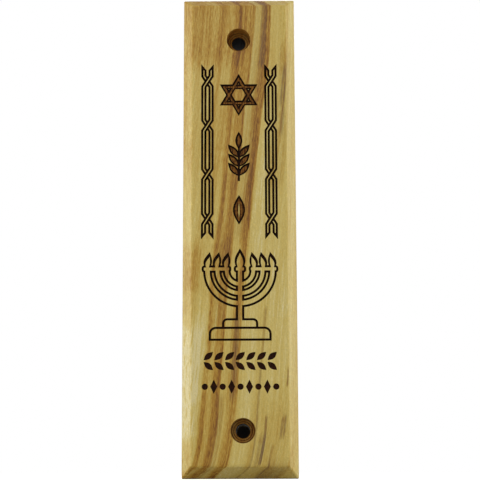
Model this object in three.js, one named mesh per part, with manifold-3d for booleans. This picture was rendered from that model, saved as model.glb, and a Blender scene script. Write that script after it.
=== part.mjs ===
// A mezuzah case in olive wood: a block with a bevelled front, two counterbored screw holes,
// and a scroll chamber in its back that a dovetailed cover slides over from the top end.
// Millimetres, +Z up. The origin is the middle of the back face, which lies on the doorpost;
// the front faces -Y.
import * as THREE from "three";
import { ConvexGeometry } from "three/addons/geometries/ConvexGeometry.js";
import { mergeVertices } from "three/addons/utils/BufferGeometryUtils.js";
import Module from "manifold-3d";

// ---- Driving dimensions ----

const WIDTH = 28;
const HEIGHT = 120;
const THICKNESS = 15;

const BEVEL_DEPTH = 2.4; // how far back from the front face every bevel runs
const BEVEL_SIDE = 2.3;
const BEVEL_TOP = 2.25;
const BEVEL_BOTTOM = 2.9;

// The two holes were drilled by hand, so neither lies quite on the centre line.
const SCREW_HOLES = [
  { x: -0.1, z: 48.7 },
  { x: 0.7, z: -48.7 },
];
const SCREW_R = 1.75;
const COUNTERBORE_R = 3;
const COUNTERBORE_DEPTH = 3.1;

// The cover and the dovetail groove that it slides in. The groove's round end is its stop.
const COVER_RECESS = 0.25; // the cover lies this far under the back face, so it never binds
const COVER_THICKNESS = 2.5;
const COVER_HALF = 8.3; // half the width of the cover's outer face, and its end's radius
const DOVETAIL_SLOPE = 0.5; // how much wider each side gets per millimetre of depth
const COVER_END_Z = -33.5; // centre of the round end
const COVER_GAP = 0.2; // between the cover and the groove, on every side
const COVER_HOLE_R = 2.1;
const THUMB_NOTCH = { z: 36, radius: 6, depth: 0.9, width: 10 };

// The chamber is one pass of a straight cutter, so both of its ends are round.
const CHAMBER_R = 5.5;
const CHAMBER_DEPTH = 9.5; // below the groove's floor
const CHAMBER_BOTTOM_Z = -41;
const CHAMBER_TOP_Z = 43;

// The scroll is a 70 mm square of parchment, rolled and slipped into a sleeve of clear film.
const SLEEVE_LENGTH = 73;
const SLEEVE_R = 4.5;
const SLEEVE_WALL = 0.16;
const SLEEVE_BOTTOM_Z = -38.3;
const PARCHMENT_SIDE = 70;
const PARCHMENT_THICKNESS = 0.28;
const ROLL_OUTER_R = 4.1;
const ROLL_PITCH = 0.46; // from one turn to the next

// The engraving on the front face. Places on it are [x, z], and its lines are measured
// between their middles.
const LINE_WIDTH = 0.45;
const LINE_DEPTH = 0.4;
const FILL_DEPTH = 0.25;
const ARC_STEPS = 28; // facets round half a turn of an engraved arc
const LEAF_STEPS = 6; // facets along each side of a leaf or a flame

// A braid is two ribbons that cross each other, upright between the crossings.
const BRAIDS_X = [-7.9, 7.85];
const BRAID = {
  top: 41.6,
  bottom: -1.7,
  crossings: [37.85, 26.4, 13.95, 2.7],
  reach: 0.9, // from the braid's middle line to each ribbon's
  rise: 1.41, // half the height of a crossing
  ribbonWidth: 0.78,
  endCut: 0.95, // how much longer a ribbon is on its outer side, at both ends
};

// The lampstand. Its arms are three half rings round one centre.
const LAMP = {
  centre: [0.1, -10.21],
  arms: [
    [7.12, 8.7],
    [4.77, 6.19],
    [2.53, 3.93],
  ],
  stemHalf: 0.75,
  cupTop: -9.1,
  cupBottom: -10.4,
  cupCorner: 0.5,
  middleCupHalf: 1.24,
  sideCups: { inner: 2.4, outer: 9.08 },
  middleFlame: { height: 3.9, half: 1.06 },
  sideFlames: { reach: [3.41, 5.66, 7.91], height: 3, half: 0.78, lean: 0.6 },
};
const UPPER_STEP = { half: 4.1, top: -22.07, bottom: -24.13, corner: 0.95 };
const LOWER_STEP = { half: 7.32, top: -24.13, bottom: -27, corner: 1.45 };

const STAR = { centre: [-0.1, 34.3], radius: 4.2, bar: 0.85 };
const SPRIG = {
  foot: [-0.1, 12.2],
  stem: { length: 8.6, width: 0.5 },
  leaf: { length: 3.8, width: 1.35 },
  pairs: 3,
  firstPair: 1.5, // above the foot
  pitch: 2.3,
  spread: 0.7, // radians between a leaf and the stem
};
const BUD = { foot: [-0.1, 1.65], length: 6.65, width: 2.6, rib: { start: 1.2, length: 3.9, width: 0.36 } };
const LAUREL = {
  start: [-8.7, -32.15],
  pairs: 7,
  pitch: 2.56,
  leaf: { length: 3, width: 1.4 },
  spread: 0.72,
  gap: 0.2, // from the row's middle line to a leaf's foot
};
const BEADS = { start: [-8.4, -38.28], count: 9, pitch: 2.14, radius: 0.75, lozenge: [0.85, 1.7] };

const ROUND_STEPS = 48; // facets round a hole or a full turn
const CUT_PAST = 1; // how far a cutter runs past the face it opens

// ---- Dimensions that follow ----

const GROOVE_FLOOR_Y = -(COVER_RECESS + COVER_THICKNESS + COVER_GAP);
const CHAMBER_FLOOR_Y = GROOVE_FLOOR_Y - CHAMBER_DEPTH;
const SCROLL_Y = (GROOVE_FLOOR_Y + CHAMBER_FLOOR_Y) / 2;
const TOP_Z = HEIGHT / 2;

// ---- Solids ----

const wasm = await Module();
wasm.setup();

function solid(geometry) {
  const plain = geometry.clone();
  plain.deleteAttribute("normal");
  if (plain.hasAttribute("uv")) plain.deleteAttribute("uv");
  const merged = mergeVertices(plain, 1e-4);
  return new wasm.Manifold(
    new wasm.Mesh({
      numProp: 3,
      vertProperties: new Float32Array(merged.attributes.position.array),
      triVerts: new Uint32Array(merged.index.array),
    }),
  );
}

function geometryOf(manifold) {
  const { vertProperties, triVerts } = manifold.getMesh();
  const geometry = new THREE.BufferGeometry();
  geometry.setAttribute("position", new THREE.BufferAttribute(vertProperties, 3));
  geometry.setIndex(new THREE.BufferAttribute(triVerts, 1));
  geometry.computeVertexNormals();
  return geometry;
}

// A round body on an axis along Y, from y0 back to y1, with a radius at each.
function roundAlongY(x, z, y0, r0, y1, r1, steps = ROUND_STEPS) {
  const geometry = new THREE.CylinderGeometry(r1, r0, y1 - y0, steps);
  return solid(geometry.translate(x, (y0 + y1) / 2, z));
}

// A bar of constant section, along Z from z0 to z1. The section is a list of [x, y] corners.
function barAlongZ(section, z0, z1) {
  const shape = new THREE.Shape(section.map(([x, y]) => new THREE.Vector2(x, y)));
  const geometry = new THREE.ExtrudeGeometry(shape, {
    depth: z1 - z0,
    bevelEnabled: false,
  });
  return solid(geometry.translate(0, 0, z0));
}

// ---- The case's body ----

// The block, as the hull of its back face, the edge under the bevels and the front face.
function caseBlank() {
  const x = WIDTH / 2;
  const z = HEIGHT / 2;
  const edge = -(THICKNESS - BEVEL_DEPTH);
  const points = [];
  for (const y of [0, edge])
    for (const sx of [-1, 1])
      for (const sz of [-1, 1]) points.push(new THREE.Vector3(sx * x, y, sz * z));
  for (const sx of [-1, 1]) {
    points.push(new THREE.Vector3(sx * (x - BEVEL_SIDE), -THICKNESS, z - BEVEL_TOP));
    points.push(new THREE.Vector3(sx * (x - BEVEL_SIDE), -THICKNESS, BEVEL_BOTTOM - z));
  }
  return solid(new ConvexGeometry(points));
}

// The dovetail, from its floor or inner face at y0 to the outer face at y1, up to z1.
// half is half its width at the reference plane y = -COVER_RECESS.
function dovetail(half, y0, y1, z1) {
  const halfAt = (y) => half - DOVETAIL_SLOPE * (y + COVER_RECESS);
  const bar = barAlongZ(
    [
      [-halfAt(y0), y0],
      [halfAt(y0), y0],
      [halfAt(y1), y1],
      [-halfAt(y1), y1],
    ],
    COVER_END_Z,
    z1,
  );
  return bar.add(roundAlongY(0, COVER_END_Z, y0, halfAt(y0), y1, halfAt(y1)));
}

function chamber() {
  const zLow = CHAMBER_BOTTOM_Z + CHAMBER_R;
  const zHigh = CHAMBER_TOP_Z - CHAMBER_R;
  const y0 = CHAMBER_FLOOR_Y;
  const y1 = GROOVE_FLOOR_Y + CUT_PAST;
  const middle = barAlongZ(
    [
      [-CHAMBER_R, y0],
      [CHAMBER_R, y0],
      [CHAMBER_R, y1],
      [-CHAMBER_R, y1],
    ],
    zLow,
    zHigh,
  );
  return middle
    .add(roundAlongY(0, zLow, y0, CHAMBER_R, y1, CHAMBER_R))
    .add(roundAlongY(0, zHigh, y0, CHAMBER_R, y1, CHAMBER_R));
}

function screwHole({ x, z }) {
  const seat = COUNTERBORE_DEPTH - THICKNESS;
  const front = -THICKNESS - CUT_PAST;
  const shank = roundAlongY(x, z, front, SCREW_R, CUT_PAST, SCREW_R);
  return shank.add(roundAlongY(x, z, front, COUNTERBORE_R, seat, COUNTERBORE_R));
}

// ---- The engraving ----

// An outline is a list of [x, z] points on the front face, anticlockwise as the front shows it.
// A figure is a function that gives its outline, and its hole if it has one, when its border
// is moved outwards by d.

// The outline with every side moved outwards by d, and its corners still sharp.
function grown(outline, d) {
  const count = outline.length;
  const normals = outline.map(([x, z], i) => {
    const [nextX, nextZ] = outline[(i + 1) % count];
    const length = Math.hypot(nextX - x, nextZ - z);
    return [(nextZ - z) / length, (x - nextX) / length];
  });
  return outline.map(([x, z], i) => {
    const before = normals[(i + count - 1) % count];
    const after = normals[i];
    const scale = d / (1 + before[0] * after[0] + before[1] * after[1]);
    return [x + (before[0] + after[0]) * scale, z + (before[1] + after[1]) * scale];
  });
}

function figureOf(outline, hole) {
  return (d) => ({ outline: grown(outline, d), hole: hole && grown(hole, -d) });
}

// A figure as a cutter that reaches a depth under the front face.
function cutter(figure, depth, grow = 0) {
  const { outline, hole } = figure(grow);
  const path = (points) => points.map(([x, z]) => new THREE.Vector2(x, z));
  const shape = new THREE.Shape(path(outline));
  if (hole) shape.holes.push(new THREE.Path(path(hole)));
  const geometry = new THREE.ExtrudeGeometry(shape, {
    depth: depth + CUT_PAST,
    bevelEnabled: false,
  });
  geometry.translate(0, 0, THICKNESS - depth);
  geometry.rotateX(Math.PI / 2);
  return solid(geometry);
}

function joined(solids) {
  return solids.reduce((whole, next) => whole.add(next));
}

// A line all round the figures, as one silhouette.
function engravedLine(figures) {
  const outside = joined(figures.map((figure) => cutter(figure, LINE_DEPTH, LINE_WIDTH / 2)));
  const inside = figures.map((figure) => cutter(figure, LINE_DEPTH + CUT_PAST, -LINE_WIDTH / 2));
  return outside.subtract(joined(inside));
}

function engravedFill(figures) {
  return joined(figures.map((figure) => cutter(figure, FILL_DEPTH)));
}

// Points along an arc, from one angle to another.
function arc([x, z], radius, from, to, steps) {
  return Array.from({ length: steps + 1 }, (_, i) => {
    const angle = from + ((to - from) * i) / steps;
    return [x + radius * Math.cos(angle), z + radius * Math.sin(angle)];
  });
}

function box(x0, x1, z0, z1) {
  return figureOf([
    [x0, z0],
    [x1, z0],
    [x1, z1],
    [x0, z1],
  ]);
}

// A box with its top corners rounded, and its bottom corners too or square.
function roundedBox(x0, x1, z0, z1, corner, squareBottom = false) {
  const quarter = Math.PI / 2;
  const steps = 5;
  const bottom = squareBottom
    ? [
        [x0, z0],
        [x1, z0],
      ]
    : [
        ...arc([x0 + corner, z0 + corner], corner, 2 * quarter, 3 * quarter, steps),
        ...arc([x1 - corner, z0 + corner], corner, 3 * quarter, 4 * quarter, steps),
      ];
  return figureOf([
    ...bottom,
    ...arc([x1 - corner, z1 - corner], corner, 0, quarter, steps),
    ...arc([x0 + corner, z1 - corner], corner, quarter, 2 * quarter, steps),
  ]);
}

// A leaf that starts at its foot and points at an angle, pointed at both ends.
function leafOutline([x, z], length, width, angle) {
  const side = (sign) =>
    Array.from({ length: LEAF_STEPS }, (_, i) => {
      const t = sign > 0 ? i / LEAF_STEPS : 1 - i / LEAF_STEPS;
      const along = length * t;
      const across = (-sign * width * Math.sin(Math.PI * t)) / 2;
      return [
        x + along * Math.cos(angle) - across * Math.sin(angle),
        z + along * Math.sin(angle) + across * Math.cos(angle),
      ];
    });
  return [...side(1), ...side(-1)];
}

const UP = Math.PI / 2;

// A flame on its cup, widest low down, whose tip leans to one side. A border moved by d
// moves TIP_STRETCH times as far at the sharp tip.
const TIP_STRETCH = 2.2;

function flame(x, { height, half, lean = 0 }) {
  const foot = (LAMP.cupTop + LAMP.cupBottom) / 2;
  const side = (sign, d) =>
    Array.from({ length: LEAF_STEPS + 1 }, (_, i) => {
      const t = i / LEAF_STEPS;
      const across = (half + d) * (0.73 + 2.82 * t) * (1 - t) ** 1.3;
      const rise = (height + TIP_STRETCH * d) * t;
      return [x + lean * t ** 2 + sign * across, LAMP.cupTop + rise];
    });
  return (d) => {
    const right = side(1, d);
    const left = side(-1, d).slice(0, LEAF_STEPS).reverse();
    return { outline: [[left.at(-1)[0], foot], [right[0][0], foot], ...right, ...left] };
  };
}

// One arm's pair of branches, a half ring whose ends run up into the cups.
function arms([inner, outer]) {
  const [x] = LAMP.centre;
  const top = (LAMP.cupTop + LAMP.cupBottom) / 2;
  return figureOf([
    [x - outer, top],
    ...arc(LAMP.centre, outer, Math.PI, 2 * Math.PI, ARC_STEPS),
    [x + outer, top],
    [x + inner, top],
    ...arc(LAMP.centre, inner, 2 * Math.PI, Math.PI, ARC_STEPS),
    [x - inner, top],
  ]);
}

function lampstand() {
  const [x] = LAMP.centre;
  const { cupTop, cupBottom, cupCorner, middleCupHalf, sideCups, sideFlames } = LAMP;
  const step = ({ half, top, bottom, corner }) =>
    roundedBox(x - half, x + half, bottom, top, corner, true);
  const cups = (x0, x1) => roundedBox(x0, x1, cupBottom, cupTop, cupCorner);
  const stemTop = (cupTop + cupBottom) / 2;
  const stemFoot = (UPPER_STEP.top + UPPER_STEP.bottom) / 2;
  const stem = box(x - LAMP.stemHalf, x + LAMP.stemHalf, stemFoot, stemTop);
  const figures = [stem, step(UPPER_STEP), flame(x, LAMP.middleFlame)];
  figures.push(cups(x - middleCupHalf, x + middleCupHalf));
  figures.push(cups(x - sideCups.outer, x - sideCups.inner));
  figures.push(cups(x + sideCups.inner, x + sideCups.outer));
  for (const pair of LAMP.arms) figures.push(arms(pair));
  for (const reach of sideFlames.reach) {
    figures.push(flame(x - reach, sideFlames));
    figures.push(flame(x + reach, { ...sideFlames, lean: -sideFlames.lean }));
  }
  return engravedLine(figures).add(engravedLine([step(LOWER_STEP)]));
}

// One ribbon of a braid, which starts on the given side of the middle line.
function ribbon(middle, startSide) {
  const { top, bottom, crossings, reach, rise, ribbonWidth, endCut } = BRAID;
  const half = ribbonWidth / 2;
  const centres = [[startSide * reach, top]];
  let side = startSide;
  for (const z of crossings) {
    centres.push([side * reach, z + rise]);
    side = -side;
    centres.push([side * reach, z - rise]);
  }
  centres.push([side * reach, bottom]);
  // Both edges of the ribbon, each a copy of its middle line moved square to it.
  const edge = (sign) =>
    centres.map(([x, z], i) => {
      const bend = i > 0 && i < centres.length - 1;
      const slope = Math.atan2(2 * reach, 2 * rise) / 2;
      const goesRight = bend && (i % 2 === 1 ? x < 0 : x > 0);
      const shift = bend ? half * Math.tan(slope) * (goesRight ? 1 : -1) : 0;
      const cut = (i === 0 ? -1 : 1) * endCut;
      const innerSide = !bend && sign * x < 0;
      return [middle + x + sign * half, z + sign * shift + (innerSide ? cut : 0)];
    });
  return figureOf([...edge(-1), ...edge(1).reverse()]);
}

// The bridge of a crossing: the piece of the upper ribbon that hides the lower one.
function bridge(middle, z) {
  const { reach, rise, ribbonWidth } = BRAID;
  const length = Math.hypot(reach, rise);
  const across = [(-ribbonWidth / 2) * (rise / length), (ribbonWidth / 2) * (reach / length)];
  const end = (sign, side) => [
    middle + sign * reach + side * across[0],
    z + sign * rise + side * across[1],
  ];
  return figureOf([end(-1, -1), end(1, -1), end(1, 1), end(-1, 1)]);
}

// At each crossing the ribbon that climbs to the right lies on top.
function braid(middle) {
  const ribbons = [-1, 1].map((side) => ribbon(middle, side));
  const lines = ribbons.map((figure) => engravedLine([figure]));
  BRAID.crossings.forEach((z, i) => {
    const lower = i % 2;
    const clear = cutter(bridge(middle, z), LINE_DEPTH + CUT_PAST, -LINE_WIDTH / 2);
    lines[lower] = lines[lower].subtract(clear);
  });
  return joined(lines);
}

// Two triangular frames, one pointing up and one down.
function star() {
  const { centre, radius, bar } = STAR;
  return [UP, -UP].map((angle) => {
    const corners = arc(centre, radius, angle, angle + 2 * Math.PI, 3).slice(0, 3);
    return figureOf(grown(corners, bar / 2), grown(corners, -bar / 2));
  });
}

function sprig() {
  const { foot, stem, leaf, pairs, firstPair, pitch, spread } = SPRIG;
  const [x, z] = foot;
  const outlines = [leafOutline(foot, stem.length, stem.width, UP)];
  for (let i = 0; i < pairs; i += 1) {
    const node = [x, z + firstPair + pitch * i];
    for (const sign of [-1, 1])
      outlines.push(leafOutline(node, leaf.length, leaf.width, UP + sign * spread));
  }
  const tip = [x, z + firstPair + pitch * pairs];
  outlines.push(leafOutline(tip, leaf.length, leaf.width, UP));
  return outlines.map((outline) => figureOf(outline));
}

function bud() {
  const { foot, length, width, rib } = BUD;
  const ribFoot = [foot[0], foot[1] + rib.start];
  const leaf = leafOutline(foot, length, width, UP);
  return [figureOf(leaf, leafOutline(ribFoot, rib.length, rib.width, UP))];
}

function laurel() {
  const { start, pairs, pitch, leaf, spread, gap } = LAUREL;
  const figures = [];
  for (let i = 0; i < pairs; i += 1)
    for (const sign of [-1, 1]) {
      const foot = [start[0] + pitch * i, start[1] + sign * gap];
      figures.push(figureOf(leafOutline(foot, leaf.length, leaf.width, sign * spread)));
    }
  return figures;
}

// A row of round beads with a lozenge between each two.
function beads() {
  const { start, count, pitch, radius, lozenge } = BEADS;
  return Array.from({ length: count }, (_, i) => {
    const [x, z] = [start[0] + pitch * i, start[1]];
    if (i % 2 === 0) return figureOf(arc([x, z], radius, 0, 2 * Math.PI, 16).slice(0, 16));
    const [half, tall] = lozenge;
    return figureOf([
      [x + half, z],
      [x, z + tall],
      [x - half, z],
      [x, z - tall],
    ]);
  });
}

function engraving() {
  const fills = [star(), sprig(), bud(), laurel(), beads()].map(engravedFill);
  return [lampstand(), ...BRAIDS_X.map(braid), ...fills];
}

// ---- The body with all its cuts ----

function caseBody() {
  const grooveHalf = COVER_HALF + COVER_GAP;
  let body = caseBlank()
    .subtract(dovetail(grooveHalf, GROOVE_FLOOR_Y, CUT_PAST, TOP_Z + CUT_PAST))
    .subtract(chamber());
  for (const hole of SCREW_HOLES) body = body.subtract(screwHole(hole));
  for (const cut of engraving()) body = body.subtract(cut);
  return geometryOf(body);
}

// ---- The sliding cover ----

function thumbNotch() {
  const { z, radius, depth, width } = THUMB_NOTCH;
  const geometry = new THREE.CylinderGeometry(radius, radius, width, ROUND_STEPS);
  geometry.rotateZ(Math.PI / 2);
  geometry.translate(0, -COVER_RECESS + radius - depth, z);
  return solid(geometry);
}

function backCover() {
  const inner = -(COVER_RECESS + COVER_THICKNESS);
  const [upper] = SCREW_HOLES;
  const hole = roundAlongY(
    upper.x,
    upper.z,
    inner - CUT_PAST,
    COVER_HOLE_R,
    CUT_PAST,
    COVER_HOLE_R,
  );
  return geometryOf(
    dovetail(COVER_HALF, inner, -COVER_RECESS, TOP_Z)
      .subtract(hole)
      .subtract(thumbNotch()),
  );
}

// ---- The scroll in its sleeve ----

function sleeve() {
  const inner = SLEEVE_R - SLEEVE_WALL;
  const profile = [
    [inner, 0],
    [SLEEVE_R, 0],
    [SLEEVE_R, SLEEVE_LENGTH],
    [inner, SLEEVE_LENGTH],
    [inner, 0],
  ].map(([r, z]) => new THREE.Vector2(r, z));
  const geometry = new THREE.LatheGeometry(profile, ROUND_STEPS);
  geometry.rotateX(Math.PI / 2);
  geometry.translate(0, SCROLL_Y, SLEEVE_BOTTOM_Z);
  return geometryOf(solid(geometry));
}

// The roll's section is a spiral band whose middle line is as long as the parchment is wide.
function parchmentRoll() {
  const outer = ROLL_OUTER_R - PARCHMENT_THICKNESS / 2;
  // A spiral of pitch p from radius R inwards is R t - p t^2 / (4 pi) long after t radians.
  const k = ROLL_PITCH / (4 * Math.PI);
  const sweep = (outer - Math.sqrt(outer ** 2 - 4 * k * PARCHMENT_SIDE)) / (2 * k);
  const steps = Math.round((sweep / (2 * Math.PI)) * (ROUND_STEPS / 2));
  const edge = (offset) =>
    Array.from({ length: steps + 1 }, (_, i) => {
      const t = (sweep * i) / steps;
      const r = outer - (ROLL_PITCH * t) / (2 * Math.PI) + offset;
      return [r * Math.cos(t), r * Math.sin(t)];
    });
  const half = PARCHMENT_THICKNESS / 2;
  const band = [...edge(half), ...edge(-half).reverse()];
  const low = SLEEVE_BOTTOM_Z + (SLEEVE_LENGTH - PARCHMENT_SIDE) / 2;
  return geometryOf(barAlongZ(band, low, low + PARCHMENT_SIDE).translate([0, SCROLL_Y, 0]));
}

// ---- The assembly ----

function mesh(name, geometry, { color, roughness, opacity = 1 }) {
  const material = new THREE.MeshStandardMaterial({ color, roughness, metalness: 0 });
  material.opacity = opacity;
  material.transparent = opacity < 1;
  const made = new THREE.Mesh(geometry, material);
  made.name = name;
  return made;
}

const oliveWood = { color: 0xc9ab64, roughness: 0.5 };
const group = new THREE.Group();
group.add(mesh("case_body", caseBody(), oliveWood));
group.add(mesh("back_cover", backCover(), oliveWood));
group.add(mesh("scroll_sleeve", sleeve(), { color: 0xeef2f2, roughness: 0.15, opacity: 0.3 }));
group.add(mesh("parchment_scroll", parchmentRoll(), { color: 0xe6d9b8, roughness: 0.7 }));

export default group;
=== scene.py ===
import math

import bmesh
import bpy
from mathutils import Matrix, Vector


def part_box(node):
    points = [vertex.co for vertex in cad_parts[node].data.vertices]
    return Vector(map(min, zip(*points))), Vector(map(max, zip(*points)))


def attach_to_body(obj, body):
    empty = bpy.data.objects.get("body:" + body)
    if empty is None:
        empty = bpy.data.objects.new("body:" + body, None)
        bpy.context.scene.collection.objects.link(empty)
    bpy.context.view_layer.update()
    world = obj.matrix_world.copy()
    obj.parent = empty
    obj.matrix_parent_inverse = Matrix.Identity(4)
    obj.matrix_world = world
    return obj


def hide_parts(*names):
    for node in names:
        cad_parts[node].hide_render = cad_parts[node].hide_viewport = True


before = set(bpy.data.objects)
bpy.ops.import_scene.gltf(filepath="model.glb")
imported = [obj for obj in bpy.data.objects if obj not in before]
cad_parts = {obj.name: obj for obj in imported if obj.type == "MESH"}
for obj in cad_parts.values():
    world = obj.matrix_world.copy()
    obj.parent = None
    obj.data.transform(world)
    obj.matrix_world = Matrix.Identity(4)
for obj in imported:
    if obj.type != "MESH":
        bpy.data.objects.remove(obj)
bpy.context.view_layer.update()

MM = 0.001

# ---- Sizes ----

case_low, case_high = (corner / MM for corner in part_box("case_body"))
cover_low, cover_high = (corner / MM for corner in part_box("back_cover"))
roll_low, roll_high = (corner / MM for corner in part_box("parchment_scroll"))
sleeve_low, sleeve_high = (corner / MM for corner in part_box("scroll_sleeve"))

HALF_WIDTH = case_high.x
TOP = case_high.z
BOTTOM = case_low.z
FRONT = case_low.y
BACK = case_high.y
PAST = 1  # how far a cutter goes past the face it opens
POST_GAP = 0.3  # between the case's back and the doorpost behind it

BEVEL_DEPTH = 2.4
BEVEL_SIDE = 2.3
BEVEL_TOP = 2.25
BEVEL_BOTTOM = 2.9
ARRIS = 0.28  # radius of the sanded edges
ARRIS_STEPS = 4
CELL = 2.53  # the front face is made of squares of this size
ON_FRONT = 0.001  # how near the front a corner is to count as on it

SCREW_HOLES = ((-0.1, 48.7), (0.7, -48.7))
SCREW_RADIUS = 1.75
SEAT_RADIUS = 3.0
SEAT_DEPTH = 3.1
SEAT_RING_STEP = 0.4
SEAT_RING_DEPTH = 0.1

GROOVE_GAP = 0.2
GROOVE_SLOPE = 0.5
GROOVE_FLOOR = cover_low.y - GROOVE_GAP
GROOVE_END = -33.5
COVER_HALF = 8.3  # half the width of the cover's outer face
COVER_ARRIS = 0.12
COVER_ARRIS_STEPS = 3
COVER_HOLE_RADIUS = 2.1
COVER_HOLE_BEVEL = 0.3
NOTCH_HEIGHT = 36
NOTCH_RADIUS = 6
NOTCH_DEPTH = 0.9
NOTCH_HALF_WIDTH = 5
NOTCH_ROUNDING = ((0, 0.35), (0.12, 0.1), (0.4, 0))  # in from its ends, and off its radius

CHAMBER_RADIUS = 5.5
CHAMBER_FLOOR = GROOVE_FLOOR - 9.5
CHAMBER_LOW = -41
CHAMBER_HIGH = 43

# The scroll and its film, as rolled sheets.
PARCHMENT_THICKNESS = 0.28
PARCHMENT_UNEVEN = 0.3  # how far its ends wander up and down
ROLL_PITCH = 0.46
ROLL_TURNS = 3.4
RULING_PITCH = 2.9
FILM_THICKNESS = 0.08
FILM_PITCH = 0.12
FILM_TURNS = 1.12
FILM_IOR = 1.45
SHEET_STEP = 0.9  # from point to point down a sheet
SHEET_WAVES = 9.0

# The engraving, as (x, z) places and sizes on the front face.
LINE_WIDTH = 0.55
LINE_DEPTH = 0.42
RIM_WIDTH = 0.42
FILL_DEPTH = 0.24
STAND_OUT = 0.2  # how far the engraving's cutters stand above the front
OUTLINE_STEP = 0.45

BRAIDS_X = (-7.9, 7.85)
BRAID_TOP = 41.6
BRAID_BOTTOM = -1.7
BRAID_CROSSINGS = (37.85, 26.4, 13.95, 2.7)
BRAID_REACH = 0.9
BRAID_RISE = 1.41
RIBBON_WIDTH = 0.78
RIBBON_END_CUT = 0.95

LAMP_CENTRE = (0.1, -10.21)
LAMP_ARMS = ((7.12, 8.7), (4.77, 6.19), (2.53, 3.93))
STEM_HALF = 0.75
CUP_TOP = -9.1
CUP_BOTTOM = -10.4
CUP_CORNER = 0.5
MIDDLE_CUP_HALF = 1.24
SIDE_CUPS_INNER = 2.4
SIDE_CUPS_OUTER = 9.08
MIDDLE_FLAME = {"height": 3.9, "half": 1.06}
SIDE_FLAME = {"height": 3.0, "half": 0.78}
SIDE_FLAME_LEAN = 0.6
FLAME_FOOT = 0.73  # its width there, as a share of its widest
FLAME_SWELL = 2.82
FLAME_TAPER = 1.3
SIDE_FLAMES_FIRST = 3.41
SIDE_FLAMES_PITCH = 2.25
UPPER_STEP = {"half": 4.1, "low": -24.13, "high": -22.07, "corner": 0.95}
LOWER_STEP = {"half": 7.32, "low": -27.0, "high": -24.13, "corner": 1.45}

STAR_CENTRE = (-0.1, 34.3)
STAR_RADIUS = 4.2
STAR_BAR = 0.85
SPRIG_FOOT = (-0.1, 12.2)
SPRIG_STEM = (8.6, 0.5)
SPRIG_LEAF = (3.8, 1.35)
SPRIG_FIRST_PAIR = 1.5
SPRIG_PITCH = 2.3
SPRIG_PAIRS = 3
SPRIG_SPREAD = 0.7
BUD_FOOT = (-0.1, 1.65)
BUD_LEAF = (6.65, 2.6)
BUD_RIB_START = 1.2
BUD_RIB = (3.9, 0.36)
LAUREL_START = (-8.7, -32.15)
LAUREL_LEAF = (3.0, 1.4)
LAUREL_PITCH = 2.56
LAUREL_PAIRS = 7
LAUREL_SPREAD = 0.72
LAUREL_GAP = 0.2
BEADS_START = (-8.4, -38.28)
BEADS_PITCH = 2.14
BEADS_COUNT = 9
BEAD_RADIUS = 0.75
BEAD_STEPS = 24
LOZENGE = (0.85, 1.7)

UP = math.pi / 2
ROUND_STEPS = 96  # sides of a full circle
SLOT_END_STEPS = 48
SMOOTH_ANGLE = 35  # in degrees: the wood's faces shade as one up to this
SHARP_ANGLE = 40


# ---- Node trees ----


class Nodes:
    """A node tree with short calls for making a node and joining it to others."""

    def __init__(self, tree):
        self.tree = tree

    def add(self, kind, inputs=None, **settings):
        node = self.tree.nodes.new(kind)
        for name, value in settings.items():
            setattr(node, name, value)
        return self.fill(node, inputs or {})

    def fill(self, node, inputs):
        for key, value in inputs.items():
            self.put(node.inputs[key], value)
        return node

    def put(self, socket, value):
        """Gives a socket its value: a constant, another socket, or a node's first output."""
        if isinstance(value, bpy.types.Node):
            value = value.outputs[0]
        if isinstance(value, bpy.types.NodeSocket):
            self.tree.links.new(value, socket)
        else:
            socket.default_value = value

    def math(self, operation, a, b=0.0, c=0.0):
        return self.add("ShaderNodeMath", {0: a, 1: b, 2: c}, operation=operation).outputs[0]

    def plus(self, a, b):
        return self.math("ADD", a, b)

    def minus(self, a, b):
        return self.math("SUBTRACT", a, b)

    def times(self, a, b):
        return self.math("MULTIPLY", a, b)

    def times_plus(self, a, b, c):
        return self.math("MULTIPLY_ADD", a, b, c)

    def wave(self, value, pitch):
        return self.math("SINE", self.times(value, 2 * math.pi / pitch))

    def vector(self, x, y, z):
        return self.add("ShaderNodeCombineXYZ", {"X": x, "Y": y, "Z": z}).outputs[0]

    def parts(self, vector):
        return self.add("ShaderNodeSeparateXYZ", {"Vector": vector}).outputs

    def mix(self, factor, a, b, blend="MIX"):
        inputs = {0: factor, 6: a, 7: b}
        return self.add("ShaderNodeMix", inputs, data_type="RGBA", blend_type=blend).outputs[2]

    def noise(self, vector, scale=1.0, detail=2.0, roughness=0.5):
        inputs = {"Vector": vector, "Scale": scale, "Detail": detail, "Roughness": roughness}
        return self.add("ShaderNodeTexNoise", inputs).outputs["Fac"]

    def range(self, value, low, high, to_low=0.0, to_high=1.0, smooth=True):
        inputs = {0: value, 1: low, 2: high, 3: to_low, 4: to_high}
        kind = "SMOOTHSTEP" if smooth else "LINEAR"
        return self.add("ShaderNodeMapRange", inputs, interpolation_type=kind).outputs[0]

    def ramp(self, value, stops):
        node = self.add("ShaderNodeValToRGB", {"Fac": value})
        elements = node.color_ramp.elements
        while len(elements) < len(stops):
            elements.new(0.5)
        for element, (position, colour) in zip(elements, stops):
            element.position = position
            element.color = colour
        return node.outputs["Color"]


def new_group(name, inputs, outputs, family="ShaderNodeTree"):
    """A node group with named sockets. inputs and outputs are {name: kind}."""
    tree = bpy.data.node_groups.new(name, family)
    for direction, sockets in (("INPUT", inputs), ("OUTPUT", outputs)):
        for socket_name, kind in sockets.items():
            tree.interface.new_socket(socket_name, in_out=direction,
                                      socket_type="NodeSocket" + kind)
    nodes = Nodes(tree)
    return nodes, nodes.add("NodeGroupInput").outputs, nodes.add("NodeGroupOutput")


def colour(red, green, blue):
    """A display colour, 0 to 255, as the linear colour that a shader takes."""

    def linear(value):
        share = value / 255
        return share / 12.92 if share <= 0.04045 else ((share + 0.055) / 1.055) ** 2.4

    return (linear(red), linear(green), linear(blue), 1.0)


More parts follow.
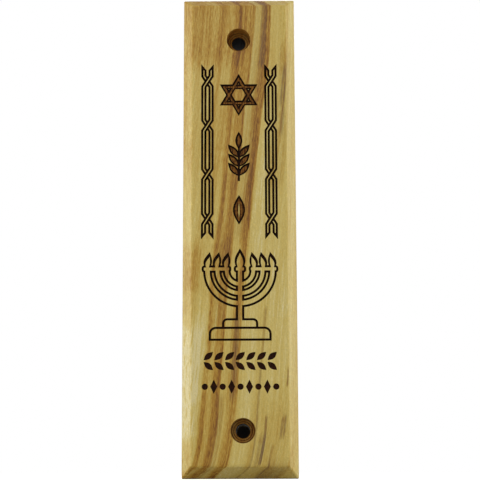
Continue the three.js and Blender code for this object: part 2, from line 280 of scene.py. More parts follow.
CREAM = colour(224, 208, 160)
GREY = colour(112, 98, 70)
HEART = colour(134, 92, 36)
# Burnt char for the engraved lines, and the near-black painted shade down the screw holes.
CHAR_AND_HOLE_SHADE = colour(20, 8, 3)

# Millimetres from one mark to the next.
DRILL_RING_PITCH = 0.55
CHATTER_PITCH = 1.1
TOOL_PASS_PITCH = 0.6


# ---- The wood ----

# Where the heart streak's edge runs on the front, as (height, distance right of the middle).
HEART_REACH = 10.0  # the most that the path leaves the middle
HEART_PATH = ((-60, -4.2), (-54, -2.6), (-45, -1.4), (-30, -0.1), (-15, 1.0), (0, 2.4), (15, 3.9),
              (30, 5.6), (45, 7.2), (52, 7.8), (60, 8.1))
RING_TURN = 1.0  # how far the rings move sideways per millimetre of depth

# From the darkest wood to the palest.
TONES = ((0.0, (120, 74, 12)), (0.15, (152, 103, 24)), (0.35, (175, 130, 38)),
         (0.55, (190, 153, 62)), (0.75, (204, 177, 90)), (0.9, (212, 190, 110)),
         (1.0, (222, 206, 146)))

# The figure across the grain: millimetres from the heart streak's edge, and the tone there.
FIGURE = ((-26, 0.7), (-21, 0.86), (-17, 0.74), (-14, 0.82), (-12, 0.7), (-10, 0.78),
          (-8.2, 0.62), (-7.4, 0.38), (-6.9, 0.64), (-6.1, 0.6), (-5.3, 0.44), (-4.6, 0.32),
          (-4.2, 0.3), (-3.9, 0.74), (-3, 0.8), (-2.3, 0.66), (-1.8, 0.5), (-1.3, 0.3),
          (-0.6, 0.2), (-0.15, 0.2), (0.12, 0.72), (0.8, 0.84), (3, 0.88), (5, 0.8),
          (7, 0.84), (10, 0.78), (13, 0.82), (16, 0.7), (19, 0.8), (24, 0.6),
          (28, 0.8), (32, 0.7))

# Streaks and clouds over the figure: how far from the heart, half width, soft edge, low end,
# high end, change of tone, and share of grey.
STREAKS = (
    (-13, 6.5, 1.5, 46, 66, -0.4, 0),
    (-11, 5, 3, 20, 40, -0.12, 0),
    (-5.8, 1.2, 1.2, 12, 36, -0.1, 0),
    (-6, 1.5, 0.9, -6, 12, -0.2, 0.05),
    (-5.6, 0.9, 0.8, -22, -4, -0.12, 0.1),
    (-12.6, 1.2, 0.9, -13, -6, -0.24, 0),
    (-9.8, 0.5, 0.6, 0, 30, -0.15, 0),
    (-2.6, 0.9, 0.8, 0, 62, -0.1, 0.16),
    (-1.6, 0.5, 0.5, 43, 64, -0.2, 0.3),
    (-0.9, 0.5, 0.5, -40, -22, -0.1, 0.35),
    (-7.6, 0.2, 0.4, -54, -40, -0.2, 0),
    (-5.2, 0.35, 0.5, -62, -34, -0.22, 0),
    (-9.2, 0.3, 0.5, -64, -52, -0.2, 0),
    (-3.6, 0.4, 0.6, -64, -42, -0.2, 0.2),
    (-12, 2, 1.5, -66, -26, 0.2, 0),
    (-10, 1.2, 1.5, -66, -20, 0.12, 0),
    (4.9, 0.3, 0.7, 33.5, 40, -0.3, 0.5),
    (5.3, 0.25, 0.5, 25, 30, -0.2, 0.35),
    (5, 1.5, 1.2, 14, 44, -0.22, 0.12),
    (3, 2, 1.5, 44, 62, -0.16, 0),
    (5.5, 0.12, 0.35, -60, -20, -0.2, 0.35),
    (7.65, 0.14, 0.3, -56, -46, -0.6, 0.55),
    (7.1, 0.5, 0.5, -56, -51, -0.14, 0.25),
    (10.1, 0.12, 0.3, -58, -53, -0.35, 0.4),
    (12, 0.12, 0.25, -37.5, -34.5, -0.4, 0.45),
    (12, 0.35, 0.5, -49, -46.5, -0.4, 0.45),
    (12.5, 2.2, 1.6, -68, -62, -0.35, 0.6),
    (8.5, 3.5, 2, -66, -46, -0.12, 0.05),
    (8.5, 2, 2, -40, -12, 0.04, 0),
)


def curve(nodes, value, points, low, high):
    """A smooth curve through (x, y) points, read at a value. Its heights run from low to high."""
    start, end = points[0][0], points[-1][0]
    share = nodes.range(value, start, end, smooth=False)
    node = nodes.add("ShaderNodeFloatCurve", {"Value": share})
    line = node.mapping.curves[0]
    places = [((x - start) / (end - start), (y - low) / (high - low)) for x, y in points]
    for point, place in zip(line.points, (places[0], places[-1])):
        point.location = place
    for place in places[1:-1]:
        line.points.new(*place)
    node.mapping.update()
    return nodes.times_plus(node.outputs[0], high - low, low)


def streak_group():
    """A mask for one streak along the grain. Its ends fade out more slowly than its sides."""
    inputs = dict.fromkeys(("Across", "Up", "Middle", "Half Width", "Edge", "Low", "High"), "Float")
    nodes, value, result = new_group("streak", inputs, {"Mask": "Float"})
    offset = nodes.math("ABSOLUTE", nodes.minus(value["Across"], value["Middle"]))
    outer = nodes.plus(value["Half Width"], value["Edge"])
    across = nodes.range(offset, outer, value["Half Width"])
    fade = nodes.times(value["Edge"], 5.0)
    above_low = nodes.minus(value["Up"], nodes.minus(value["Low"], fade))
    under_high = nodes.minus(nodes.plus(value["High"], fade), value["Up"])
    along = nodes.times(nodes.range(above_low, 0, fade),
                       nodes.range(under_high, 0, fade))
    nodes.put(result.inputs["Mask"], nodes.times(across, along))
    return nodes.tree


def grain_group():
    """Noise drawn out along the grain, from -0.5 to 0.5: its scales across and along."""
    inputs = dict.fromkeys(("Across", "Depth", "Up", "Fine", "Long"), "Float")
    nodes, value, result = new_group("grain", inputs, {"Value": "Float"})
    place = nodes.vector(nodes.times(value["Across"], value["Fine"]),
                         nodes.times(value["Depth"], value["Fine"]),
                         nodes.times(value["Up"], value["Long"]))
    drawn = nodes.noise(place, detail=3.0, roughness=0.6)
    nodes.put(result.inputs["Value"], nodes.minus(drawn, 0.5))
    return nodes.tree


def wood_group():
    """Olive wood as a solid: colour, fibre height and gloss at any place in the block."""
    inputs = {"Place": "Vector", "Shift": "Float"}
    outputs = {"Color": "Color", "Fibre": "Float", "Gloss": "Float"}
    nodes, given, result = new_group("olive_wood", inputs, outputs)
    x, y, z = nodes.parts(given["Place"])
    depth = nodes.minus(y, FRONT)

    # Across the grain: sideways from the heart streak, turning with depth as rings do.
    slow = nodes.vector(nodes.times(x, 0.12), nodes.times(y, 0.12),
                        nodes.times(z, 0.05))
    drift = nodes.range(nodes.noise(slow), 0, 1, -0.7, 0.7, smooth=False)
    heart = curve(nodes, z, HEART_PATH, -HEART_REACH, HEART_REACH)
    turned = nodes.times_plus(depth, RING_TURN, given["Shift"])
    across = nodes.plus(nodes.minus(x, heart), turned)
    across = nodes.plus(across, drift)

    grain_tree = grain_group()

    def grain(fine, long):
        inputs = {"Across": across, "Depth": depth, "Up": z, "Fine": fine, "Long": long}
        return nodes.add("ShaderNodeGroup", inputs, node_tree=grain_tree).outputs["Value"]

    broad = grain(0.55, 0.02)
    bands = grain(1.5, 0.035)
    fibres = grain(3.2, 0.12)
    fine = grain(5.5, 0.6)

    # The tone, from the figure and its streaks.
    wavy = nodes.times_plus(bands, 0.8, across)
    tone = curve(nodes, wavy, FIGURE, 0.0, 1.0)
    grey = 0.0
    broken = nodes.range(fibres, -0.16, 0.08, 0.25, 1.0)
    streak = streak_group()
    for middle, half_width, edge, low, high, change, greyness in STREAKS:
        inputs = {"Across": wavy, "Up": z, "Middle": middle, "Edge": edge,
                  "Half Width": half_width, "Low": low, "High": high}
        node = nodes.add("ShaderNodeGroup", inputs, node_tree=streak)
        mask = nodes.times(node.outputs["Mask"], broken)
        tone = nodes.times_plus(mask, change, tone)
        grey = nodes.times_plus(mask, greyness, grey)

    # The grain, livelier in the darker wood.
    lively = nodes.range(tone, 0.9, 0.4, 0.55, 1.5)
    lines = nodes.times_plus(broad, 0.55, nodes.times(bands, 0.6))
    lines = nodes.times_plus(fibres, 0.65, lines)
    lines = nodes.times_plus(fine, 0.8, lines)
    tone = nodes.times_plus(lines, lively, tone)
    stops = [(position, colour(*rgb)) for position, rgb in TONES]
    wood = nodes.ramp(tone, stops)
    wood = nodes.mix(nodes.math("MINIMUM", grey, 0.85), wood, GREY)

    # Mottling, and the faint slanting marks that sanding leaves.
    mottle = nodes.noise(given["Place"], scale=2.6, detail=3.0, roughness=0.7)
    slanted = nodes.vector(nodes.times_plus(z, 1.6, nodes.times(x, 2.4)),
                           y, nodes.times_plus(x, 0.25, nodes.times(z, -0.4)))
    marks = nodes.noise(slanted, detail=1.0)
    shade = nodes.range(mottle, 0.3, 0.7, 0.9, 1.1, smooth=False)
    shade = nodes.times(shade, nodes.range(marks, 0.5, 0.75, 1.0, 1.07))
    wood = nodes.mix(1.0, wood, nodes.vector(shade, shade, shade), blend="MULTIPLY")

    nodes.fill(result, {"Color": wood, "Fibre": nodes.plus(fine, fibres),
                        "Gloss": nodes.range(tone, 0.2, 0.9)})
    return nodes.tree


def new_material(name):
    material = bpy.data.materials.new(name)
    material.use_nodes = True
    nodes = Nodes(material.node_tree)
    shader = material.node_tree.nodes["Principled BSDF"]
    return material, nodes, shader


def place_in_mm(nodes):
    where = nodes.add("ShaderNodeTexCoord").outputs["Object"]
    inputs = {"Vector": where, "Scale": 1 / MM}
    return nodes.add("ShaderNodeVectorMath", inputs, operation="SCALE").outputs[0]


def wood_nodes(nodes, group, shift=0.0):
    inputs = {"Place": place_in_mm(nodes), "Shift": shift}
    return nodes.add("ShaderNodeGroup", inputs, node_tree=group).outputs


def bump(nodes, shader, height, distance, strength):
    inputs = {"Height": height, "Strength": strength, "Distance": distance * MM}
    nodes.put(shader.inputs["Normal"], nodes.add("ShaderNodeBump", inputs).outputs["Normal"])


def olive_material(group, name, shift=0.0):
    """Sanded and oiled wood, with the pores darker where the grain is cut across."""
    material, nodes, shader = new_material(name)
    wood = wood_nodes(nodes, group, shift)
    normal = nodes.add("ShaderNodeNewGeometry").outputs["Normal"]
    end_grain = nodes.range(nodes.math("ABSOLUTE", nodes.parts(normal)["Z"]), 0.45, 0.97)
    specks = nodes.noise(place_in_mm(nodes), scale=4.5, detail=2.0, roughness=0.6)
    dark = nodes.mix(0.22, wood["Color"], HEART)
    ends = nodes.mix(nodes.range(specks, 0.56, 0.66, 0, 0.6), dark, HEART)
    nodes.fill(shader, {"Base Color": nodes.mix(end_grain, wood["Color"], ends),
                        "Roughness": nodes.range(wood["Gloss"], 0, 1, 0.5, 0.38),
                        "Specular IOR Level": 0.4})
    bump(nodes, shader, wood["Fibre"], 0.02, 0.35)
    return material


def bored_material(group):
    """Wood that a drill has browned: ringed where its point turned, and near black further down the
    hole, which is painted shade.
    """
    material, nodes, shader = new_material("bored_wood")
    wood = wood_nodes(nodes, group)
    x, y, z = nodes.parts(place_in_mm(nodes))
    radii = []
    for hole_x, hole_z in SCREW_HOLES:
        away_x = nodes.minus(x, hole_x)
        away_z = nodes.minus(z, hole_z)
        squares = nodes.times_plus(away_x, away_x, nodes.times(away_z, away_z))
        radii.append(nodes.math("SQRT", squares))
    radius = nodes.math("MINIMUM", *radii)
    scorch = nodes.noise(place_in_mm(nodes), scale=1.4, detail=4.0, roughness=0.7)
    uneven = nodes.times_plus(scorch, 0.25, radius)
    ripple = nodes.wave(uneven, DRILL_RING_PITCH)
    rings = nodes.range(ripple, -0.6, 0.6, smooth=False)
    brown = nodes.mix(0.6, wood["Color"], colour(168, 112, 44))
    brown = nodes.mix(nodes.range(scorch, 0.35, 0.7, 0, 0.4), brown, colour(110, 64, 20))
    brown = nodes.mix(nodes.times(rings, 0.65), brown, colour(84, 46, 14))
    # Painted shade: below the seat, the hole's walls turn near black.
    painted_shade_depth = nodes.range(y, FRONT + SEAT_DEPTH + 0.1, FRONT + SEAT_DEPTH + 1.2)
    nodes.fill(shader, {"Base Color": nodes.mix(painted_shade_depth, brown, CHAR_AND_HOLE_SHADE), "Roughness": 0.75,
                        "Specular IOR Level": 0.2})
    bump(nodes, shader, nodes.plus(rings, scorch), 0.05, 0.6)
    return material


def routed_material(group):
    """Bare wood inside the groove and the chamber, with a cutter's light chatter marks."""
    material, nodes, shader = new_material("routed_wood")
    wood = wood_nodes(nodes, group)
    x, _, z = nodes.parts(place_in_mm(nodes))
    sweep = nodes.times_plus(nodes.times(x, x), 0.12, z)
    ripple = nodes.wave(sweep, CHATTER_PITCH)
    chatter = nodes.range(ripple, -1, 1, smooth=False)
    fuzz = nodes.noise(place_in_mm(nodes), scale=2.2, detail=5.0, roughness=0.75)
    pale = nodes.mix(0.35, wood["Color"], CREAM)
    fuzzy = nodes.mix(nodes.range(fuzz, 0.4, 0.7, 0, 0.3), pale, HEART)
    nodes.fill(shader, {"Base Color": nodes.mix(nodes.times(chatter, 0.12), fuzzy, HEART),
                        "Roughness": 0.8, "Specular IOR Level": 0.2})
    bump(nodes, shader, nodes.plus(chatter, fuzz), 0.04, 0.5)
    return material


def burnt_material(name, rim, floor, patchy):
    """Wood burnt by the engraving, from the rim's colour down to the floor's."""
    material, nodes, shader = new_material(name)
    place = place_in_mm(nodes)
    x, y, _ = nodes.parts(place)
    depth = nodes.minus(y, FRONT)
    mottle = nodes.noise(place, scale=1.1, detail=4.0, roughness=0.7)
    passes = nodes.wave(x, TOOL_PASS_PITCH)
    patches = nodes.times_plus(passes, 0.06, mottle)
    soot = nodes.mix(nodes.range(patches, 0.4, 0.6, 0, patchy), floor, rim)
    burnt = nodes.mix(nodes.range(depth, 0.0, 0.16), rim, soot)
    nodes.fill(shader, {"Base Color": burnt, "Roughness": 0.85, "Specular IOR Level": 0.15})
    bump(nodes, shader, mottle, 0.05, 0.5)
    return material


# ---- Meshes ----


def show(data, name):
    piece = bpy.data.objects.new(name, data)
    bpy.context.scene.collection.objects.link(piece)
    return piece


def piece_of(work, name, material):
    """A piece from a closed solid, its faces turned to point outwards."""
    bmesh.ops.recalc_face_normals(work, faces=work.faces)
    if work.calc_volume(signed=True) < 0:
        bmesh.ops.reverse_faces(work, faces=work.faces)
    mesh = bpy.data.meshes.new(name)
    work.to_mesh(mesh)
    work.free()
    mesh.materials.append(material)
    return show(mesh, name)


def skinned(rings):
    """A closed solid: rings of points joined side to side, with a face on each end."""
    work = bmesh.new()
    loops = [[work.verts.new(point) for point in ring] for ring in rings]
    for ring, after in zip(loops, loops[1:]):
        for i, corner in enumerate(ring):
            j = (i + 1) % len(ring)
            work.faces.new((corner, ring[j], after[j], after[i]))
    work.faces.new(loops[0])
    work.faces.new(loops[-1])
    return work


def settled(piece):
    """Turns what the piece's modifiers make into its own plain mesh."""
    graph = bpy.context.evaluated_depsgraph_get()
    mesh = bpy.data.meshes.new_from_object(piece.evaluated_get(graph))
    piece.modifiers.clear()
    piece.data = mesh
    return piece


def attach(piece, body, node):
    """Turns a finished piece into metres, and puts it on its body in place of a CAD node."""
    piece.data.transform(Matrix.Scale(MM, 4))
    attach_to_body(piece, body)
    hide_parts(node)


def combine(piece, other, operation):
    """Cuts another solid out of the piece or adds it, and removes the other one."""
    modifier = piece.modifiers.new(operation.lower(), "BOOLEAN")
    modifier.object = other
    modifier.operation = operation
    modifier.solver = "MANIFOLD"
    modifier.material_mode = "TRANSFER"
    settled(piece)
    bpy.data.objects.remove(other)
    return piece


def cut(piece, *others):
    for other in others:
        combine(piece, other, "DIFFERENCE")
    return piece


def united(pieces):
    first, *rest = pieces
    for other in rest:
        combine(first, other, "UNION")
    return first


def arc(centre, radius, start, end, steps):
    x, z = centre
    angles = (start + (end - start) * i / steps for i in range(steps + 1))
    return [(x + radius * math.cos(angle), z + radius * math.sin(angle)) for angle in angles]


def circle(centre, radius, steps=ROUND_STEPS):
    return arc(centre, radius, 0, 2 * math.pi, steps)[:-1]


def round_along_y(centre, profile, material):
    """A turned solid on an axis along Y. The profile is a list of (radius, y)."""
    rings = [[(x, y, z) for x, z in circle(centre, radius)] for radius, y in profile]
    return piece_of(skinned(rings), "turned", material)


def slot_along_z(half_at, depths, z_low, z_high, round_top, material):
    """A slot's solid, round at its foot, whose half width at a depth is half_at(y)."""
    rings = []
    for y in depths:
        half = half_at(y)
        outline = arc((0, z_low), half, 2 * UP, 4 * UP, SLOT_END_STEPS)
        if round_top:
            outline += arc((0, z_high), half, 0, 2 * UP, SLOT_END_STEPS)
        else:
            outline += [(half, z_high), (-half, z_high)]
        rings.append([(x, y, z) for x, z in outline])
    return piece_of(skinned(rings), "slot", material)


# ---- Outlines on the front face ----


def grown(outline, amount):
    """The outline with every side moved outwards, and its corners still sharp."""
    count = len(outline)
    normals = []
    for i, (x, z) in enumerate(outline):
        next_x, next_z = outline[(i + 1) % count]
        length = math.hypot(next_x - x, next_z - z)
        normals.append(((next_z - z) / length, (x - next_x) / length))
    moved = []
    for i, (x, z) in enumerate(outline):
        before = normals[i - 1]
        after = normals[i]
        scale = amount / (1 + before[0] * after[0] + before[1] * after[1])
        moved.append((x + (before[0] + after[0]) * scale, z + (before[1] + after[1]) * scale))
    return moved


def figure_of(outline, hole=None):
    """A figure gives its outline, and its hole or None, for any amount of growth."""

    def figure(amount):
        return grown(outline, amount), grown(hole, -amount) if hole else None

    return figure


def plain_box(x_low, x_high, z_low, z_high):
    return figure_of([(x_low, z_low), (x_high, z_low), (x_high, z_high), (x_low, z_high)])


def rounded_box(x_low, x_high, z_low, z_high, corner, square_bottom=False):
    steps = 6
    bottom = [(x_low, z_low), (x_high, z_low)]
    if not square_bottom:
        bottom = arc((x_low + corner, z_low + corner), corner, 2 * UP, 3 * UP, steps)
        bottom += arc((x_high - corner, z_low + corner), corner, 3 * UP, 4 * UP, steps)
    top = arc((x_high - corner, z_high - corner), corner, 0, UP, steps)
    top += arc((x_low + corner, z_high - corner), corner, UP, 2 * UP, steps)
    return figure_of(bottom + top)


def leaf(foot, size, angle, rib=None):
    """A leaf pointed at both ends, that starts at its foot and points at an angle."""
    length, width = size
    x, z = foot
    steps = 9
    tip_stretch = math.hypot(1, 2 * length / (math.pi * width))

    def side(sign, amount):
        points = []
        for i in range(steps):
            share = i / steps if sign > 0 else 1 - i / steps
            along = length * share + tip_stretch * amount * (2 * share - 1)
            beside = -sign * (width / 2 + amount) * math.sin(math.pi * share)
            points.append((x + along * math.cos(angle) - beside * math.sin(angle),
                           z + along * math.sin(angle) + beside * math.cos(angle)))
        return points

    def figure(amount):
        outline = side(1, amount) + side(-1, amount)
        return outline, rib(-amount)[0] if rib else None

    return figure


def flame(x, height, half, lean=0.0):
    """A flame on its cup, widest low down, whose tip leans to one side."""
    steps = 10
    tip_stretch = 2.2  # how much further a moved border goes at the sharp tip
    foot = (CUP_TOP + CUP_BOTTOM) / 2

    def side(sign, amount):
        points = []
        for i in range(steps + 1):
            share = i / steps
            beside = (half + amount) * (FLAME_FOOT + FLAME_SWELL * share)
            beside *= (1 - share) ** FLAME_TAPER
            rise = (height + tip_stretch * amount) * share
            points.append((x + lean * share ** 2 + sign * beside, CUP_TOP + rise))
        return points

    def figure(amount):
        right = side(1, amount)
        left = side(-1, amount)[:-1][::-1]
        return [(left[-1][0], foot), (right[0][0], foot)] + right + left, None

    return figure


def arm(inner, outer):
    """A pair of branches: a half ring whose ends run up into the cups."""
    x, _ = LAMP_CENTRE
    top = (CUP_TOP + CUP_BOTTOM) / 2
    steps = 56
    outside = arc(LAMP_CENTRE, outer, math.pi, 2 * math.pi, steps)
    inside = arc(LAMP_CENTRE, inner, 2 * math.pi, math.pi, steps)
    return figure_of([(x - outer, top)] + outside + [(x + outer, top), (x + inner, top)]
                     + inside + [(x - inner, top)])


def ribbon(middle, start_side):
    """One ribbon of a braid, upright between the crossings."""
    half = RIBBON_WIDTH / 2
    side = start_side
    centres = [(side * BRAID_REACH, BRAID_TOP)]
    for z in BRAID_CROSSINGS:
        centres.append((side * BRAID_REACH, z + BRAID_RISE))
        side = -side
        centres.append((side * BRAID_REACH, z - BRAID_RISE))
    centres.append((side * BRAID_REACH, BRAID_BOTTOM))
    shift = half * math.tan(math.atan2(BRAID_REACH, BRAID_RISE) / 2)
    last = len(centres) - 1

    def edge(sign):
        points = []
        for i, (x, z) in enumerate(centres):
            if 0 < i < last:
                goes_right = x < 0 if i % 2 == 1 else x > 0
                z += sign * shift * (1 if goes_right else -1)
            elif sign * x < 0:
                z += RIBBON_END_CUT * (-1 if i == 0 else 1)
            points.append((middle + x + sign * half, z))
        return points

    return figure_of(edge(-1) + edge(1)[::-1])


def bridge(middle, z):
    """The piece of the upper ribbon that hides the lower one at a crossing."""
    length = math.hypot(BRAID_REACH, BRAID_RISE)
    beside = Vector((-BRAID_RISE, BRAID_REACH)) * RIBBON_WIDTH / 2 / length
    along = Vector((BRAID_REACH, BRAID_RISE))
    centre = Vector((middle, z))
    corners = (centre - along - beside, centre + along - beside,
               centre + along + beside, centre - along + beside)
    return figure_of([tuple(corner) for corner in corners])


# ---- Cutters for the engraving ----


def worked(outline):
    """The outline with points all along its sides."""
    points = []
    for i, start in enumerate(outline):
        end = outline[(i + 1) % len(outline)]
        pieces = max(1, round(math.dist(start, end) / OUTLINE_STEP))
        points += [Vector(start).lerp(end, k / pieces) for k in range(pieces)]
    return points


def prism(outline, heights, material):
    """The upright solid between two heights."""
    work = bmesh.new()
    rings = [[work.verts.new((x, y, z)) for x, z in worked(outline)] for y in heights]
    above, below = rings
    for i in range(len(above)):
        j = (i + 1) % len(above)
        work.faces.new((above[i], above[j], below[j], below[i]))
    caps = [work.faces.new(above[::-1]), work.faces.new(below)]
    bmesh.ops.triangulate(work, faces=caps, ngon_method="EAR_CLIP")
    return piece_of(work, "cutter", material)


def cutter(figure, depth, grow, material, above=STAND_OUT):
    """A figure's solid, from above the front face down to a depth."""
    outline, hole = figure(grow)
    whole = prism(outline, (FRONT - above, FRONT + depth), material)
    if hole:
        cut(whole, prism(hole, (FRONT - above - PAST, FRONT + depth + PAST), material))
    return whole


def clearing(figure, grow, material):
    """A figure's solid, past a line's groove on both sides."""
    return cutter(figure, LINE_DEPTH + PAST, grow, material, STAND_OUT + PAST)


def line_cutter(figures, material, width=LINE_WIDTH):
    """A groove all round the figures, as one silhouette."""
    half = width / 2
    outside = united([cutter(figure, LINE_DEPTH, half, material) for figure in figures])
    inside = united([clearing(figure, -half, material) for figure in figures])
    return cut(outside, inside)


def row_tree():
    """Copies a solid along a row, at a pitch sideways."""
    inputs = {"Solid": "Geometry", "Count": "Int", "Pitch": "Float", "Finish": "Material"}
    nodes, given, result = new_group("solids_in_a_row", inputs, {"Row": "Geometry"},
                                     "GeometryNodeTree")
    step = nodes.vector(given["Pitch"], 0.0, 0.0)
    line = nodes.add("GeometryNodeMeshLine", {"Count": given["Count"], "Offset": step})
    placed = nodes.add("GeometryNodeInstanceOnPoints",
                       {"Points": line, "Instance": given["Solid"]})
    return finished_tree(nodes, placed, given["Finish"], result)


def finished_tree(nodes, made, material, result):
    """Ends a geometry node tree with real geometry in its material."""
    real = nodes.add("GeometryNodeRealizeInstances", {"Geometry": made})
    dressed = nodes.add("GeometryNodeSetMaterial",
                        {"Geometry": real, "Material": material})
    nodes.put(result.inputs[0], dressed)
    return nodes.tree


def grow_with(piece, tree, **values):
    """Runs a geometry node tree on the piece, its inputs given by name."""
    modifier = piece.modifiers.new(tree.name, "NODES")
    modifier.node_group = tree
    for item in tree.interface.items_tree:
        if item.in_out == "INPUT" and item.name in values:
            modifier[item.identifier] = values[item.name]
    return settled(piece)


# ---- The engraved ornaments ----


def lampstand_figures():
    x, _ = LAMP_CENTRE
    cups_middle = (CUP_TOP + CUP_BOTTOM) / 2
    stem_foot = (UPPER_STEP["low"] + UPPER_STEP["high"]) / 2
    figures = [plain_box(x - STEM_HALF, x + STEM_HALF, stem_foot, cups_middle)]
    figures.append(step_figure(UPPER_STEP))
    figures.append(flame(x, **MIDDLE_FLAME))
    for low, high in ((-MIDDLE_CUP_HALF, MIDDLE_CUP_HALF), (-SIDE_CUPS_OUTER, -SIDE_CUPS_INNER),
                      (SIDE_CUPS_INNER, SIDE_CUPS_OUTER)):
        figures.append(rounded_box(x + low, x + high, CUP_BOTTOM, CUP_TOP, CUP_CORNER))
    figures += [arm(*radii) for radii in LAMP_ARMS]
    for i in range(len(LAMP_ARMS)):
        reach = SIDE_FLAMES_FIRST + SIDE_FLAMES_PITCH * i
        figures.append(flame(x - reach, lean=SIDE_FLAME_LEAN, **SIDE_FLAME))
        figures.append(flame(x + reach, lean=-SIDE_FLAME_LEAN, **SIDE_FLAME))
    return figures


def step_figure(step):
    x, _ = LAMP_CENTRE
    return rounded_box(x - step["half"], x + step["half"], step["low"], step["high"],
                       step["corner"], square_bottom=True)


def braid_cutters(middle, material):
    """Two ribbons. At each crossing the one that climbs to the right lies on top."""
    lines = [line_cutter([ribbon(middle, side)], material) for side in (-1, 1)]
    for i, z in enumerate(BRAID_CROSSINGS):
        cut(lines[i % 2], clearing(bridge(middle, z), -LINE_WIDTH / 2, material))
    return lines


def star_figures():
    figures = []
    for angle in (UP, -UP):
        corners = arc(STAR_CENTRE, STAR_RADIUS, angle, angle + 2 * math.pi, 3)[:3]
        figures.append(figure_of(grown(corners, STAR_BAR / 2), grown(corners, -STAR_BAR / 2)))
    return figures


def sprig_figures():
    x, z = SPRIG_FOOT
    figures = []
    for i in range(SPRIG_PAIRS):
        node = (x, z + SPRIG_FIRST_PAIR + SPRIG_PITCH * i)
        figures += [leaf(node, SPRIG_LEAF, UP + sign * SPRIG_SPREAD) for sign in (-1, 1)]
    tip = (x, z + SPRIG_FIRST_PAIR + SPRIG_PITCH * SPRIG_PAIRS)
    figures.append(leaf(tip, SPRIG_LEAF, UP))
    return figures


def stem_cutter(material):
    x, z = SPRIG_FOOT
    length, width = SPRIG_STEM
    return cutter(plain_box(x - width / 2, x + width / 2, z, z + length), LINE_DEPTH, 0, material)


def rimmed_cutters(figures, fill, rim):
    """A shallow burnt area, and the darker line round it."""
    area = united([cutter(figure, FILL_DEPTH, 0, fill) for figure in figures])
    return [area, line_cutter(figures, rim, RIM_WIDTH)]


def bud_cutters(fill, rim):
    """A bud whose rib stands up in the burnt area."""
    x, z = BUD_FOOT
    rib = leaf((x, z + BUD_RIB_START), BUD_RIB, UP)
    area = cutter(leaf(BUD_FOOT, BUD_LEAF, UP, rib), FILL_DEPTH, 0, fill)
    return [area, line_cutter([leaf(BUD_FOOT, BUD_LEAF, UP)], rim, RIM_WIDTH)]


def laurel_cutters(row, material):
    x, z = LAUREL_START
    cutters = []
    for sign in (-1, 1):
        figure = leaf((x, z + sign * LAUREL_GAP), LAUREL_LEAF, sign * LAUREL_SPREAD)
        solid = cutter(figure, FILL_DEPTH, 0, material)
        cutters.append(grow_with(solid, row, Count=LAUREL_PAIRS, Pitch=LAUREL_PITCH,
                                 Finish=material))
    return cutters


def bead_cutters(row, material):
    x, z = BEADS_START
    bead = figure_of(circle(BEADS_START, BEAD_RADIUS, BEAD_STEPS))
    half, tall = LOZENGE
    middle = x + BEADS_PITCH
    lozenge = figure_of([(middle + half, z), (middle, z + tall), (middle - half, z),
                         (middle, z - tall)])
    cutters = []
    for figure, count in ((bead, BEADS_COUNT // 2 + 1), (lozenge, BEADS_COUNT // 2)):
        solid = cutter(figure, FILL_DEPTH, 0, material)
        cutters.append(grow_with(solid, row, Count=count, Pitch=2 * BEADS_PITCH,
                                 Finish=material))
    return cutters


def engraving_cutters(row, line, fill, solid):
    stand = (lampstand_figures(), [step_figure(LOWER_STEP)])
    cutters = [line_cutter(figures, line) for figures in stand]
    for middle in BRAIDS_X:
        cutters += braid_cutters(middle, line)
    for figures in (star_figures(), sprig_figures()):
        cutters += rimmed_cutters(figures, fill, line)
    cutters += bud_cutters(fill, line) + [stem_cutter(line)]
    cutters += laurel_cutters(row, solid) + bead_cutters(row, solid)
    return cutters


# ---- The case ----


def case_blank(material):
    """The block with its four bevels, its edges sanded round."""
    edge_y = FRONT + BEVEL_DEPTH
    sections = (
        (BACK, HALF_WIDTH, BOTTOM, TOP),
        (edge_y, HALF_WIDTH, BOTTOM, TOP),
        (FRONT, HALF_WIDTH - BEVEL_SIDE, BOTTOM + BEVEL_BOTTOM, TOP - BEVEL_TOP),
    )
    rings = []
    for y, half, low, high in sections:
        corners = ((-half, low), (half, low), (half, high), (-half, high))
        rings.append([(x, y, z) for x, z in corners])
    work = skinned(rings)
    round_edges(work, work.edges[:], ARRIS, ARRIS_STEPS)
    for x in steps_between(-HALF_WIDTH, HALF_WIDTH, CELL):
        split_front(work, (x, 0, 0), (1, 0, 0))
    for z in steps_between(BOTTOM, TOP, CELL):
        split_front(work, (0, 0, z), (0, 0, 1))
    return piece_of(work, "case_wood", material)


def round_edges(work, edges, radius, steps):
    bmesh.ops.bevel(work, geom=edges, offset=radius, segments=steps, profile=0.5, affect="EDGES",
                    clamp_overlap=True)


def steps_between(low, high, step):
    return [low + step * (i + 0.5) for i in range(int((high - low) / step))]


def split_front(work, place, normal):
    """Splits the front face along a plane, so that the engraving cuts into small faces."""
    faces = [face for face in work.faces
             if all(abs(corner.co.y - FRONT) < ON_FRONT for corner in face.verts)]
    edges = {edge for face in faces for edge in face.edges}
    corners = {vertex for face in faces for vertex in face.verts}
    bmesh.ops.bisect_plane(work, geom=[*faces, *edges, *corners], plane_co=place,
                           plane_no=normal)


def screw_hole_cutter(centre, material):
    """A clearance hole under a counterbore whose floor keeps the drill's rings."""
    seat = FRONT + SEAT_DEPTH
    profile = [(SEAT_RADIUS, FRONT - PAST), (SEAT_RADIUS, seat)]
    radius = SEAT_RADIUS - SEAT_RING_STEP / 2
    while radius > SCREW_RADIUS + SEAT_RING_STEP / 2:
        profile += [(radius, seat + SEAT_RING_DEPTH), (radius - SEAT_RING_STEP / 2, seat)]
        radius -= SEAT_RING_STEP
    profile += [(SCREW_RADIUS, seat), (SCREW_RADIUS, BACK + PAST)]
    return round_along_y(centre, profile, material)


def cover_half(y):
    """Half the width of the dovetailed cover at a depth."""
    return COVER_HALF - GROOVE_SLOPE * (y - cover_high.y)


def groove_cutter(material):
    return slot_along_z(lambda y: cover_half(y) + GROOVE_GAP, (GROOVE_FLOOR, BACK + PAST),
                        GROOVE_END, TOP + PAST, False, material)


